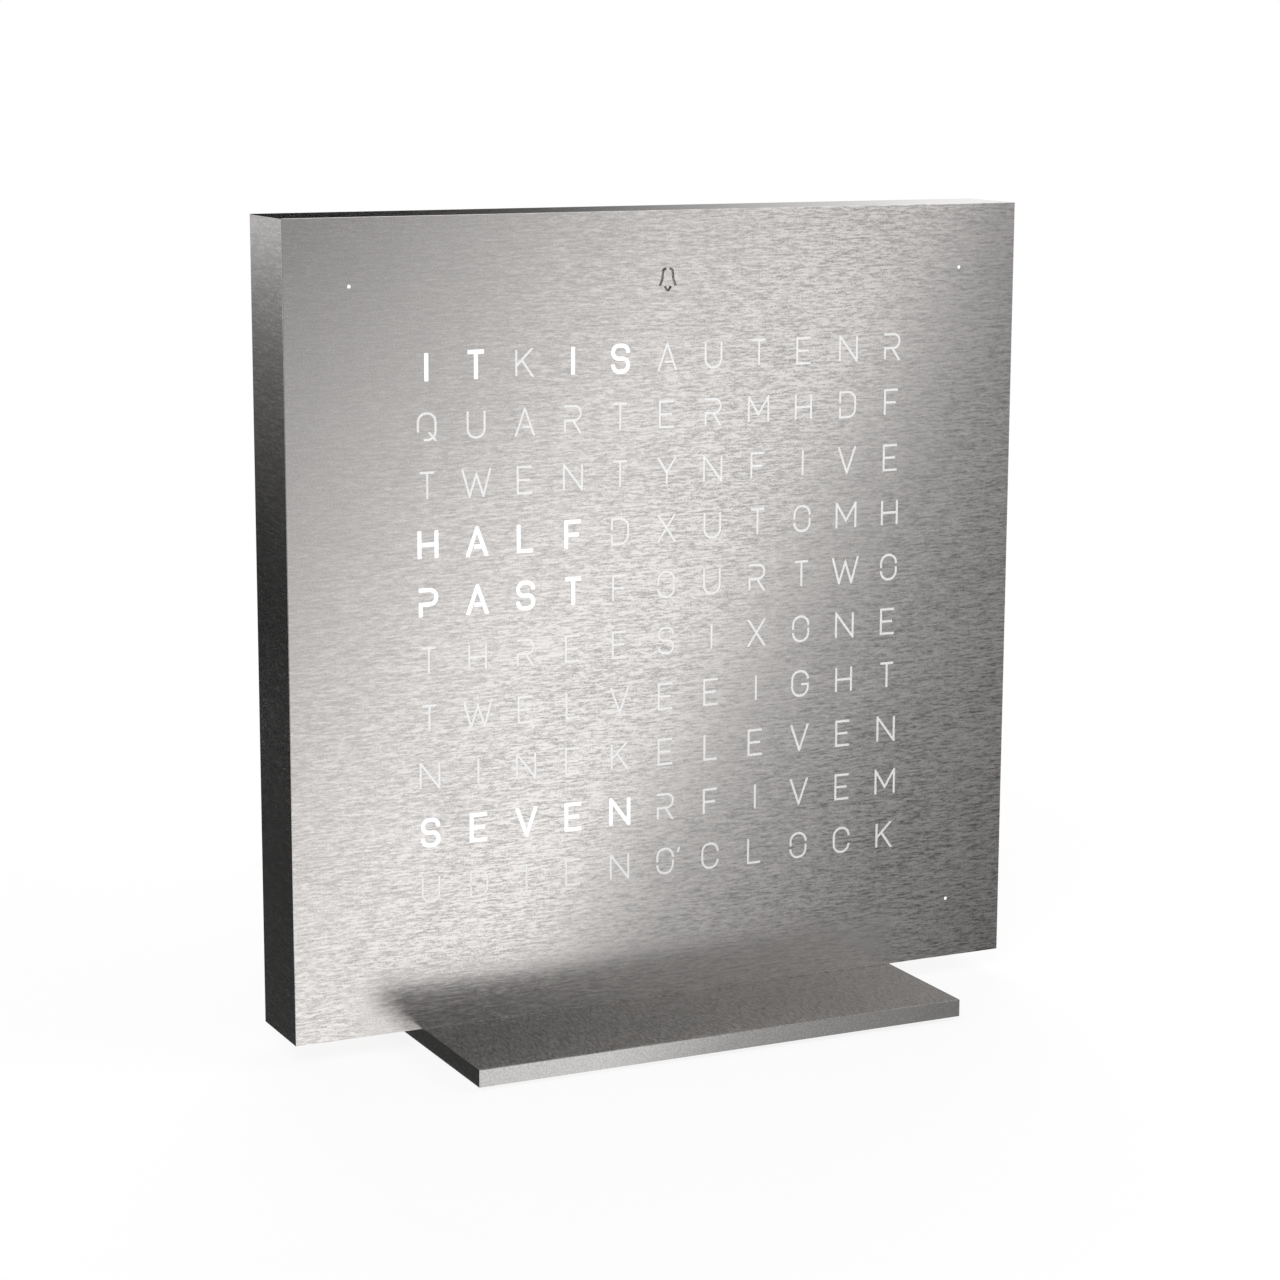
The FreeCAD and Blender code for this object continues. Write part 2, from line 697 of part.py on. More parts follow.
def rear_cover():
    """A moulded cover with a rim inside the steel walls, which the studs hold."""
    plate_half_width = inner_half_width - rim_gap
    plate_half_height = inner_half_height - rim_gap
    body = block_at(0, body_middle, 2 * plate_half_width, 2 * plate_half_height, rim_y, rear_y)
    body = body.makeFillet(moulded_radius, [edge for edge in body.Edges if all(
        vertex.Point.y > rear_y - 0.01 for vertex in edge.Vertexes)])
    inside = block_at(0, body_middle, 2 * (plate_half_width - rim_wall),
                      2 * (plate_half_height - rim_wall), rim_y - 1, rear_inner_y)
    bar_notch = block(-bar_half_width - bar_gap, bar_half_width + bar_gap,
                      rim_y - 1, rear_inner_y, body_bottom, bar_top + bar_gap)
    holes = [inside, bar_notch]
    for x, z in STUDS:
        holes.append(rod(x, z, rear_screw_diameter + 2 * pass_gap, rim_y, rear_y + 1))
        holes.append(countersink(x, z, pass_gap / 2))
    for z in BUTTONS.values():
        holes.append(rod(button_x, z, button_diameter + 2 * button_gap, rim_y, rear_y + 1))
    holes.append(oval_rod(socket_width + 2 * socket_gap, socket_height + 2 * socket_gap,
                          rim_y, rear_y + 1))
    x, z = on_board(buzzer_at)
    holes.append(rod(x, z, sound_hole, rim_y, rear_y + 1))
    for i in range(6):
        angle = math.radians(60 * i)
        holes.append(rod(x + sound_pitch * math.cos(angle), z + sound_pitch * math.sin(angle),
                         sound_hole, rim_y, rear_y + 1))
    return body.cut(holes)


def countersink(x, z, gap):
    """The cone under the head of a rear screw, or its seat with a gap around it."""
    small = rear_screw_diameter / 2 + gap
    large = rear_screw_diameter + gap
    depth = large - small
    cone = Part.makeCone(small, large, depth, Vector(x, rear_y - depth, z), Vector(0, 1, 0))
    return cone


def rear_screws():
    screws = []
    for x, z in STUDS:
        head = countersink(x, z, 0)
        shank = rod(x, z, rear_screw_diameter, rear_y - rear_screw_length,
                    rear_y - rear_screw_diameter / 2)
        socket = hexagon(Vector(x, rear_y + recess_depth, z), rear_screw_diameter * 0.6,
                         Vector(0, -1, 0), 2 * recess_depth)
        screws.append(head.fuse(shank).cut(socket))
    return group(screws)


# ---------------------------------------------------------------- buttons and switches

switch_end_y = parts_y + switch_depth
plunger_end_y = switch_end_y + plunger_proud
flange_end_y = rear_inner_y - flange_gap
flange_y = flange_end_y - flange_thickness
button_end_y = rear_y + button_proud


def mark_cutters(name, z):
    """The sign sunk into a button: a plus, a minus, or a round dimple."""
    y0 = button_end_y - mark_depth
    y1 = button_end_y + 1
    bar = block_at(button_x, z, mark_length, mark_width, y0, y1)
    upright = block_at(button_x, z, mark_width, mark_length, y0, y1)
    dimple = rod(button_x, z, 2 * mark_width, y0, y1)
    return {"function": [dimple], "plus": [bar, upright], "minus": [bar]}[name]


def button(name):
    """A cap with a flange behind the rear cover and a stem on to its switch."""
    z = BUTTONS[name]
    cap = rod(button_x, z, button_diameter, flange_end_y, button_end_y)
    rim = [edge for edge in cap.Edges
           if edge.Closed and abs(edge.Vertexes[0].Point.y - button_end_y) < 0.01]
    cap = cap.makeFillet(moulded_radius, rim)
    flange = rod(button_x, z, flange_diameter, flange_y, flange_end_y)
    pieces = [flange]
    if flange_y > plunger_end_y:
        pieces.append(rod(button_x, z, stem_diameter, plunger_end_y, flange_y))
    return cap.fuse(pieces).cut(mark_cutters(name, z))


def plunger_bore_y():
    """The floor of the bore that a pressed plunger runs down to."""
    return parts_y + plunger_gap


def button_switches():
    """Three small push switches on the back of the board."""
    bore = plunger_diameter + 2 * plunger_gap
    pin_x = (switch_side + switch_pin) / 2
    switches = []
    for z in BUTTONS.values():
        body = block_at(button_x, z, switch_side, switch_side, parts_y, switch_end_y)
        body = body.cut(rod(button_x, z, bore, plunger_bore_y(), switch_end_y + 1))
        pins = [block_at(button_x + side * pin_x, z + level * switch_side / 3,
                         switch_pin, switch_pin, parts_y, parts_y + lead_width)
                for side in (-1, 1) for level in (-1, 1)]
        switches.append(body.fuse(pins))
    return group(switches)


def switch_plunger(name):
    """The sprung core of one switch, which its button pushes in."""
    start_y = plunger_bore_y() + button_travel + plunger_gap
    return rod(button_x, BUTTONS[name], plunger_diameter, start_y, plunger_end_y)


# ---------------------------------------------------------------- stand


def base_plate():
    plate = block(-plate_width / 2, plate_width / 2, -plate_depth / 2, plate_depth / 2,
                  pad_thickness, body_bottom)
    plate = plate.makeFillet(edge_radius, plate.Edges)
    holes = []
    for x in BASE_SCREWS:
        holes.append(post(x, bar_middle_y, base_screw_diameter + 2 * pass_gap,
                          0, body_bottom + 1))
        holes.append(base_cone(x, pass_gap / 2))
    return plate.cut(holes)


def base_cone(x, gap):
    """The cone of a base screw's head, or its seat with a gap around it."""
    small = base_screw_diameter / 2 + gap
    large = base_screw_diameter + gap
    place = Vector(x, bar_middle_y, pad_thickness)
    return Part.makeCone(large, small, large - small, place, Vector(0, 0, 1))


def base_screws():
    screws = []
    for x in BASE_SCREWS:
        shank = post(x, bar_middle_y, base_screw_diameter,
                     pad_thickness + base_screw_diameter / 2, bar_floor + base_screw_bite)
        socket = hexagon(Vector(x, bar_middle_y, pad_thickness - recess_depth),
                         base_screw_diameter * 0.66, Vector(0, 0, 1), 2 * recess_depth)
        screws.append(base_cone(x, 0).fuse(shank).cut(socket))
    return group(screws)


def stand_bar():
    """The threaded bar inside the cover, which the base screws pull down on to the plate."""
    bar = block(-bar_half_width, bar_half_width, bar_y, bar_y + bar_depth,
                bar_floor, bar_top)
    hole = base_screw_diameter + 2 * thread_gap
    return bar.cut([post(x, bar_middle_y, hole, body_bottom, bar_top + 1)
                    for x in BASE_SCREWS])


def base_pads():
    """Soft round pads under the plate's corners."""
    reach_x = plate_width / 2 - pad_inset
    reach_y = plate_depth / 2 - pad_inset
    return group([post(side * reach_x, end * reach_y, pad_diameter, 0, pad_thickness)
                  for side in (-1, 1) for end in (-1, 1)])


# ---------------------------------------------------------------- write the parts

NODES = {
    "front_cover": front_cover,
    "cover_studs": cover_studs,
    "diffuser_sheet": diffuser_sheet,
    "light_grid": light_grid,
    "led_board": led_board,
    "lamps": lamps,
    "controller_chip": controller_chip,
    "driver_chips": driver_chips,
    "clock_crystal": clock_crystal,
    "board_capacitors": board_capacitors,
    "voltage_regulator": voltage_regulator,
    "power_coil": power_coil,
    "coin_cell_holder": coin_cell_holder,
    "coin_cell": coin_cell,
    "cell_clip": cell_clip,
    "buzzer": buzzer,
    "touch_spring": touch_spring,
    "board_screws": board_screws,
    "power_socket": power_socket,
    "socket_tongue": socket_tongue,
    "rear_cover": rear_cover,
    "rear_screws": rear_screws,
    "button_switches": button_switches,
    "base_plate": base_plate,
    "base_screws": base_screws,
    "stand_bar": stand_bar,
    "base_pads": base_pads,
}

os.makedirs("parts", exist_ok=True)
for node, make in NODES.items():
    make().exportStep("parts/" + node + ".step")
for name in BUTTONS:
    button(name).exportStep("parts/" + name + "_button.step")
    switch_plunger(name).exportStep("parts/" + name + "_plunger.step")
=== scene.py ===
"""The looks of a desk clock that tells the time in lit words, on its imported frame.

Each piece of the frame gets a material. The light in the lit letters, the pale fill of the
other slots and the signs in the rear buttons are added as pieces of their own.

Lengths are in metres. X runs to the right, Y from the face to the rear and Z up. The steel is
brushed along X. The cover's face looks towards -Y.
"""

import math

import bmesh
import bpy
from mathutils import Matrix, Quaternion, Vector

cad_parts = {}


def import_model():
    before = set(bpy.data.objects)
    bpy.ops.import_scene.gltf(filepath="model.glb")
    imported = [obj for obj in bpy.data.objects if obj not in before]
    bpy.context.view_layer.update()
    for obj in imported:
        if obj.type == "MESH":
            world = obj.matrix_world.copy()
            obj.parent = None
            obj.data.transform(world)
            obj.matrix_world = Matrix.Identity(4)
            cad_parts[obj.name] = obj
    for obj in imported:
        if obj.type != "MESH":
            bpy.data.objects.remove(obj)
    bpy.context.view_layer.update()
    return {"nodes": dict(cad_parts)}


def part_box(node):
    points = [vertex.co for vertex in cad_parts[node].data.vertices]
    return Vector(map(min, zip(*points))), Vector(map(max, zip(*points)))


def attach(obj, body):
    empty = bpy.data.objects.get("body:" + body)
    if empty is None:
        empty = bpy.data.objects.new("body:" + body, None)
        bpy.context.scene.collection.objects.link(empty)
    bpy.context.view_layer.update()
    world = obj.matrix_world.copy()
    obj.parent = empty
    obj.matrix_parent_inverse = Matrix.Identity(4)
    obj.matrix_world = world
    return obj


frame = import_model()

MM = 0.001
WELD = 0.002 * MM               # corners nearer to each other than this are one

# ---------------------------------------------------------------- the view

CAMERA_PLACE = Vector((-0.23453, -0.48101, 0.16614))
CAMERA_AZIMUTH = math.radians(-25.797)
CAMERA_ELEVATION = math.radians(10.663)
CAMERA_ROLL = math.radians(0.173)
CAMERA_LENS = 89.376            # mm
CAMERA_FRAME = 36               # mm, the width of the picture behind the lens

# ---------------------------------------------------------------- places from the frame

cover_low, cover_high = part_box("front_cover")
plate_low, plate_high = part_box("base_plate")
FACE_Y = cover_low.y
FACE_WIDTH = cover_high.x - cover_low.x
FACE_HEIGHT = cover_high.z - cover_low.z
FACE_MIDDLE = Vector((0.0, FACE_Y, (cover_low.z + cover_high.z) / 2))

# the grid of letters
COLUMN_PITCH = 8.66 * MM
ROW_PITCH = 9.64 * MM
GRID_DROP = 0.15 * MM           # of its middle below the face's middle
LAST_COLUMN = 10
LAST_ROW = 9

# the time shown, it is half past seven: the columns that are lit in a row, and the corners
# whose minute dots are lit, as the signs of X and Z from the face's middle
LIT_WORDS = {
    0: (0, 1, 3, 4),
    3: (0, 1, 2, 3),
    4: (0, 1, 2, 3),
    8: (0, 1, 2, 3, 4),
}
LIT_DOTS = [(-1, 1), (1, 1), (1, -1)]

# ---------------------------------------------------------------- objects and shader nodes


def added(name, data):
    """An object with this data, put in the scene."""
    made = bpy.data.objects.new(name, data)
    bpy.context.scene.collection.objects.link(made)
    return made


def added_mesh(name, shape):
    """An object with the shape of this bmesh, which it frees, put in the scene."""
    mesh = bpy.data.meshes.new(name)
    shape.to_mesh(mesh)
    shape.free()
    return added(name, mesh)


NOISE_RANGE = (0.3, 0.7)        # of most values of a noise
NEARLY_ALONG = 0.7              # of a normal's length along an axis that it is said to face


class Nodes:
    """A tree of shader nodes, with short ways to add to it."""

    def __init__(self, tree):
        self.tree = tree

    def node(self, kind, inputs=None, **settings):
        """A new node of this kind, with these settings and values or links for its inputs."""
        made = self.tree.nodes.new("ShaderNode" + kind)
        for name, value in settings.items():
            setattr(made, name, value)
        for name, value in (inputs or {}).items():
            self.put(made.inputs[name], value)
        return made

    def put(self, socket, value):
        """Link the socket to value, or give it that value."""
        if isinstance(value, bpy.types.NodeSocket):
            self.tree.links.new(value, socket)
        else:
            socket.default_value = value

    def number(self, operation, *values):
        """The number that a Math node makes of numbers."""
        return self.node("Math", dict(enumerate(values)), operation=operation).outputs[0]

    def vector(self, operation, *values):
        """The vector that a Vector Math node makes of vectors."""
        return self.node("VectorMath", dict(enumerate(values)), operation=operation).outputs[0]

    def measure(self, operation, *values):
        """The number that a Vector Math node makes of vectors."""
        made = self.node("VectorMath", dict(enumerate(values)), operation=operation)
        return made.outputs["Value"]

    def parts(self, vector):
        """The outputs X, Y and Z of a vector."""
        return self.node("SeparateXYZ", {0: vector}).outputs

    def sum(self, first, second, share):
        """first, with a share of second added."""
        return self.number("MULTIPLY_ADD", second, share, first)

    def span(self, factor, before, after):
        """factor, taken from the range before to the range after."""
        return self.node("MapRange", {"Value": factor, "From Min": before[0], "From Max": before[1],
                                      "To Min": after[0], "To Max": after[1]}).outputs[0]

    def profile(self, factor, stops):
        """A smooth grey that runs close to the stops, pairs of a factor and a grey.

        It is never above 1: a stop above 1 widens the stretch that is white."""
        ramp = self.node("ValToRGB", {"Fac": factor})
        ramp.color_ramp.interpolation = "B_SPLINE"
        elements = ramp.color_ramp.elements
        elements.remove(elements[1])
        for position, grey in stops:
            elements.new(position).color = (grey, grey, grey, 1)
        elements.remove(elements[0])
        return ramp.outputs[0]

    def graph(self, value, low, high, stops):
        """A smooth grey for a value from low to high, from stops, pairs of a value and a grey."""
        shares = [((place - low) / (high - low), grey) for place, grey in stops]
        return self.profile(self.span(value, (low, high), (0, 1)), shares)

    def in_view(self):
        """1 for what the camera, reflections and glass see, and 0 for light on a surface."""
        rays = self.node("LightPath").outputs
        seen = self.number("MAXIMUM", rays["Is Camera Ray"], rays["Is Glossy Ray"])
        return self.number("MAXIMUM", seen, rays["Is Transmission Ray"])


class Surface(Nodes):
    """A material: nodes round one Principled BSDF. Noise follows place, in metres."""

    def __init__(self, name):
        self.material = bpy.data.materials.new(name)
        self.material.use_nodes = True
        super().__init__(self.material.node_tree)
        self.shader = self.tree.nodes["Principled BSDF"]
        self.place = self.node("TexCoord").outputs["Object"]

    def set(self, **values):
        """Set the shader's sockets, named with _ for a space."""
        for name, value in values.items():
            self.put(self.shader.inputs[name.replace("_", " ")], value)

    def noise(self, size, detail=2.0, wave=0.0):
        """Noise whose patches are about size across, along X, Y and Z, and bent by wave."""
        scale = [1 / length for length in size]
        at = self.node("Mapping", {"Vector": self.place, "Scale": scale})
        return self.node("TexNoise", {"Vector": at.outputs[0], "Scale": 1.0, "Detail": detail,
                                      "Distortion": wave}).outputs[0]

    def blend(self, factor, low, high):
        """A number between low and high, for a noise."""
        return self.span(factor, NOISE_RANGE, (low, high))

    def tint(self, factor, dark, light, between=NOISE_RANGE):
        """A colour from dark to light, for a factor in the range between."""
        ramp = self.node("ValToRGB", {"Fac": factor})
        first, last = ramp.color_ramp.elements
        first.position, last.position = between
        first.color = (*dark, 1)
        last.color = (*light, 1)
        return ramp.outputs[0]

    def tones(self, factor, colours):
        """A colour from a list that runs from 0 to 1."""
        ramp = self.node("ValToRGB", {"Fac": factor})
        elements = ramp.color_ramp.elements
        elements[0].color = (*colours[0], 1)
        elements[-1].color = (*colours[-1], 1)
        for place, colour in enumerate(colours[1:-1], 1):
            elements.new(place / (len(colours) - 1)).color = (*colour, 1)
        return ramp.outputs[0]

    def mix(self, factor, first, second):
        """The vector first where factor is 0, and second where it is 1."""
        return self.node("Mix", {0: factor, 4: first, 5: second}, data_type="VECTOR").outputs[1]

    def faces(self, normal, axis):
        """1 where the surface faces along an axis, either way, and 0 elsewhere."""
        along = self.number("ABSOLUTE", self.parts(normal)[axis])
        return self.number("GREATER_THAN", along, NEARLY_ALONG)

    def bump(self, height, depth, below=None):
        """Raise the surface by a share height of depth, on top of the bumps below."""
        made = self.node("Bump", {"Height": height, "Distance": depth, "Strength": 1.0})
        if below:
            self.put(made.inputs["Normal"], below)
        self.set(Normal=made.outputs[0])
        return made.outputs[0]


# ---------------------------------------------------------------- steel

# the tones of its flecks, evenly spaced from dark to light
COVER_TONES = [(0.33, 0.327, 0.32), (0.555, 0.543, 0.53), (0.78, 0.754, 0.737), (1.0, 0.962, 0.945)]
PLATE_TONES = [(0.4, 0.395, 0.388), (0.5, 0.492, 0.482), (0.6, 0.588, 0.575), (0.7, 0.686, 0.67)]
MAIN_TONE = 2 / 3               # of the way along these tones
TONE_STEP = (-1 / 3, 1 / 3)     # from it to the dark and bright flecks of strength 1
STEEL_ROUGHNESS = (0.17, 0.23)

# how large the flecks are, along X, Y and Z
LONG_FLECK = (2.9 * MM, 0.38 * MM, 0.38 * MM)
SHORT_FLECK = (1.1 * MM, 0.3 * MM, 0.3 * MM)
PLATE_FLECK = (0.3 * MM, 1.6 * MM, 0.35 * MM)
PLATE_SHORT_FLECK = (0.3 * MM, 0.9 * MM, 0.25 * MM)
GRAIN = (0.32 * MM, 0.24 * MM, 0.24 * MM)
CLOUD = (30 * MM, 22 * MM, 22 * MM)
FLECK_WAVE = 0.5                # how far the flecks stray from straight lines
FLECK_DEPTH = 0.005 * MM
GRAIN_DEPTH = 0.002 * MM

# shares of the short flecks and the cloud, and the ranges that these noises then fill
SHORT_SHARE = 0.8
CLOUD_SHARE = 0.15
MARKS_RANGE = (0.7, 1.1)
SHADES_RANGE = (0.72, 1.23)
GRAIN_RANGE = (0.075, 0.925)

# Where the flecks on the cover's face are strong: pairs of a place across it and a strength.
# The flecks are the steel's own, but their strength is painted sheen that follows the bright
# band the face reflects: strong in the band, weak towards the upper left, weaker just right of
# the band and strong again on the dark right side. The place is in mm from a line that rises
# at BAND_SLOPE, from BAND_START mm beside the middle of the cover's foot.
BAND_SLOPE = math.radians(57.5)
BAND_START = -60.5
FLECK_AND_SHEEN_STRENGTH = [
    (-110, 0.2), (-70, 0.2), (-60, 0.14), (-50, 0.24), (-38, 0.52), (-25, 0.85), (-12, 1.05),
    (3, 1.38), (18, 1.68), (29, 0.8), (40, 0.6), (53, 1.05), (80, 1.5), (110, 1.7),
]
STRONGEST = 2.0                 # that a strength may be
SIDE_STRENGTH = 0.7             # on the cover's sides
LEAST_GRAIN = 0.7               # how strong the grain stays where the flecks are weak
PLATE_TOP_STRENGTH = 1.9
PLATE_FRONT_STRENGTH = 0.8

# painted sheen: up to the band the bright flecks stand out most, as painted glints in the band
# that the face reflects, and right of it the dark ones, as painted shade
PAINTED_SHEEN_LEAN_PLACES = (20, 35)
PAINTED_SHEEN_LEAN = (0.7, -0.7)

# Just above the plate, where the face reflects it, the face is calmer: its colour flecks are
# weaker, as a painted reflection of the plate, and its bumps are lower. The calm ends between
# two heights above the cover's foot, and between two distances past the plate's ends,
# CALM_SHIFT further to the left.
CALM = 0.3
CALM_HEIGHTS = (6.3 * MM, 11.7 * MM)
CALM_PAST_PLATE = (2 * MM, 8 * MM)
CALM_SHIFT = 6 * MM


def across_band(surface, place):
    """How far place lies to the right of the band's line, in mm."""
    across = (math.sin(BAND_SLOPE) / MM, 0, -math.cos(BAND_SLOPE) / MM)
    from_start = surface.vector("SUBTRACT", place, (BAND_START * MM, 0, cover_low.z))
    return surface.measure("DOT_PRODUCT", from_start, across)


def calm_in_plate_reflection(surface, place):
    """CALM over the plate and a little left of it, where the plate's reflection is painted, else 1."""
    parts = surface.parts(place)
    sideways = surface.number("ABSOLUTE", surface.number("ADD", parts["X"], CALM_SHIFT))
    beside = surface.span(sideways, [plate_high.x + past for past in CALM_PAST_PLATE], (0, 1))
    above = surface.span(parts["Z"], [cover_low.z + height for height in CALM_HEIGHTS], (CALM, 1))
    return surface.number("MAXIMUM", beside, above)


def face_fleck_and_sheen_strength(surface, place, calm):
    """How strong the flecks are at a place on the cover's face, with their painted sheen."""
    low, high = FLECK_AND_SHEEN_STRENGTH[0][0], FLECK_AND_SHEEN_STRENGTH[-1][0]
    stops = [(across, strength / STRONGEST) for across, strength in FLECK_AND_SHEEN_STRENGTH]
    share = surface.graph(across_band(surface, place), low, high, stops)
    return surface.number("MULTIPLY", surface.number("MULTIPLY", share, STRONGEST), calm)


def brush_crosswise(surface, normal, side):
    """Turn the shader's gloss so that it stretches across the brushing."""
    brushed = surface.mix(side, (1, 0, 0), (0, 1, 0))
    crosswise = surface.vector("CROSS_PRODUCT", normal, brushed)
    never_zero = surface.vector("ADD", crosswise, (0, 0, 0.001))
    surface.set(Tangent=surface.vector("NORMALIZE", never_zero))


def brushed_steel(name, tones, flecks, on_cover=False):
    """Brushed stainless steel: bright and dark flecks of two sizes over a fine grain.

    They run along X, and along Y on the sides, as on a folded sheet."""
    made = Surface(name)
    place = made.place
    normal = made.node("NewGeometry").outputs["True Normal"]
    side = made.faces(normal, "X")
    front = made.faces(normal, "Y")
    parts = made.parts(place)
    turned = made.node("CombineXYZ", {0: parts["Y"], 1: parts["X"], 2: parts["Z"]}).outputs[0]
    made.place = made.mix(side, place, turned)

    long, short = [made.noise(fleck, wave=FLECK_WAVE) for fleck in flecks]
    marks = made.sum(long, short, SHORT_SHARE)
    grain = made.noise(GRAIN)
    shades = made.sum(marks, made.noise(CLOUD, detail=1.0), CLOUD_SHARE)
    spread = made.span(shades, SHADES_RANGE, TONE_STEP)
    fine = made.span(grain, GRAIN_RANGE, TONE_STEP)
    ridges = marks
    if on_cover:
        # calm where the plate's reflection is painted: weaker colour flecks, and lower bumps
        calm = calm_in_plate_reflection(made, place)
        ridges = made.number("MULTIPLY", marks, calm)
        # on the face the fleck strength carries the painted sheen of the reflected band
        strength = made.span(front, (0, 1), (SIDE_STRENGTH, face_fleck_and_sheen_strength(made, place, calm)))
        # painted glints and shade: the flecks lean bright up to the reflected band and dark right of it
        painted_sheen_lean = made.span(across_band(made, place), PAINTED_SHEEN_LEAN_PLACES, PAINTED_SHEEN_LEAN)
        spread = made.sum(spread, made.number("MULTIPLY", spread, spread), painted_sheen_lean)
    else:
        strength = made.span(front, (0, 1), (PLATE_TOP_STRENGTH, PLATE_FRONT_STRENGTH))
    fine_strength = made.number("MAXIMUM", strength, LEAST_GRAIN)
    shade = made.sum(made.sum(MAIN_TONE, spread, strength), fine, fine_strength)
    made.set(
        Base_Color=made.tones(shade, tones),
        Metallic=1.0,
        Roughness=made.span(marks, MARKS_RANGE, STEEL_ROUGHNESS),
        Anisotropic=0.3,
    )
    made.bump(ridges, FLECK_DEPTH, below=made.bump(grain, GRAIN_DEPTH))
    brush_crosswise(made, normal, side)
    return made.material


# ---------------------------------------------------------------- other materials

SLOW_SIZE = 40                  # of slow changes of tone in plastic, in sizes of its texture
SLOW_SHARE = 0.2                # of the slow changes beside the fine ones


def metal(name, dark, light, roughness, size, depth):
    """A plated or turned metal with fine marks."""
    made = Surface(name)
    marks = made.noise(size, detail=3.0)
    made.set(
        Base_Color=made.tint(marks, dark, light),
        Metallic=1.0,
        Roughness=made.blend(marks, roughness * 0.8, roughness * 1.25),
    )
    made.bump(marks, depth)
    return made.material


def moulded(name, dark, light, roughness, texture=0.35 * MM, depth=0.02 * MM, gloss=0.5):
    """Moulded plastic, rubber or resin: a spark-eroded texture with slow changes of tone."""
    made = Surface(name)
    texels = made.noise((texture,) * 3, detail=3.0)
    slow = made.noise((texture * SLOW_SIZE,) * 3)
    made.set(
        Base_Color=made.tint(made.sum(texels, slow, SLOW_SHARE), dark, light, between=(0.4, 0.8)),
        Roughness=made.blend(slow, roughness * 0.95, roughness * 1.05),
        Specular_IOR_Level=gloss,
    )
    made.bump(texels, depth)
    return made.material


def glowing(name, grey, strength, tinge=None, mirror=0.0):
    """Pale plastic of this grey with slow changes of tone, lit from behind or with a painted glow.

    The light is white, or changes between the tinge and white. mirror is the share of the
    light that the plastic mirrors, as a clear film before it would."""
    made = Surface(name)
    slow = made.noise((2 * MM,) * 3, detail=1.0)
    made.set(
        Base_Color=made.tint(slow, (grey * 0.97,) * 3, (grey * 1.03,) * 3),
        Metallic=mirror,
        Roughness=made.blend(slow, 0.2, 0.26),
        Emission_Color=made.tint(slow, tinge, (1, 1, 1)) if tinge else (1, 1, 1, 1),
        Emission_Strength=strength,
    )
    return made.material


def board_laminate():
    """Black solder mask over woven glass."""
    made = Surface("board_laminate")
    weave = made.node("TexWave", {"Vector": made.place, "Scale": 400.0, "Distortion": 1.0}).outputs[1]
    slow = made.noise((9 * MM,) * 3)
    made.set(
        Base_Color=made.tint(made.sum(slow, weave, SLOW_SHARE), (0.006, 0.012, 0.009),
                             (0.016, 0.03, 0.022)),
        Roughness=made.blend(slow, 0.3, 0.42),
    )
    made.bump(weave, 0.004 * MM)
    return made.material


def materials():
    """Every material of the frame's pieces, by name."""
    return {
        "cover_steel": brushed_steel("cover_steel", COVER_TONES, (LONG_FLECK, SHORT_FLECK),
                                     on_cover=True),
        "plate_steel": brushed_steel("plate_steel", PLATE_TONES, (PLATE_FLECK, PLATE_SHORT_FLECK)),
        "plated_steel": metal("plated_steel", (0.6, 0.6, 0.59), (0.74, 0.74, 0.73), 0.22,
                              (0.5 * MM, 0.5 * MM, 0.5 * MM), 0.002 * MM),
        "screw_steel": metal("screw_steel", (0.2, 0.2, 0.21), (0.34, 0.34, 0.35), 0.34,
                             (0.2 * MM, 0.2 * MM, 0.2 * MM), 0.004 * MM),
        "can_aluminium": metal("can_aluminium", (0.72, 0.73, 0.74), (0.84, 0.85, 0.86), 0.3,
                               (2 * MM, 2 * MM, 0.15 * MM), 0.003 * MM),
        "spring_bronze": metal("spring_bronze", (0.62, 0.4, 0.17), (0.76, 0.52, 0.26), 0.26,
                               (0.2 * MM, 0.2 * MM, 2 * MM), 0.002 * MM),
        "white_plastic": moulded("white_plastic", (0.78, 0.78, 0.76), (0.86, 0.86, 0.85), 0.45),
        "lamp_body": moulded("lamp_body", (0.8, 0.78, 0.68), (0.88, 0.87, 0.8), 0.3,
                             depth=0.004 * MM),
        "black_resin": moulded("black_resin", (0.012, 0.012, 0.013), (0.03, 0.03, 0.032), 0.5,
                               texture=0.12 * MM, depth=0.006 * MM),
        "ferrite": moulded("ferrite", (0.03, 0.029, 0.028), (0.07, 0.068, 0.066), 0.62,
                           depth=0.01 * MM),
        "black_plastic": moulded("black_plastic", (0.014, 0.014, 0.015), (0.026, 0.026, 0.028), 0.46),
        "button_plastic": moulded("button_plastic", (0.03, 0.03, 0.032), (0.05, 0.05, 0.053), 0.38,
                                  texture=0.18 * MM, depth=0.005 * MM),
        "pad_rubber": moulded("pad_rubber", (0.02, 0.02, 0.02), (0.035, 0.035, 0.034), 0.8,
                              texture=0.3 * MM, depth=0.02 * MM, gloss=0.3),
        "board_laminate": board_laminate(),
    }


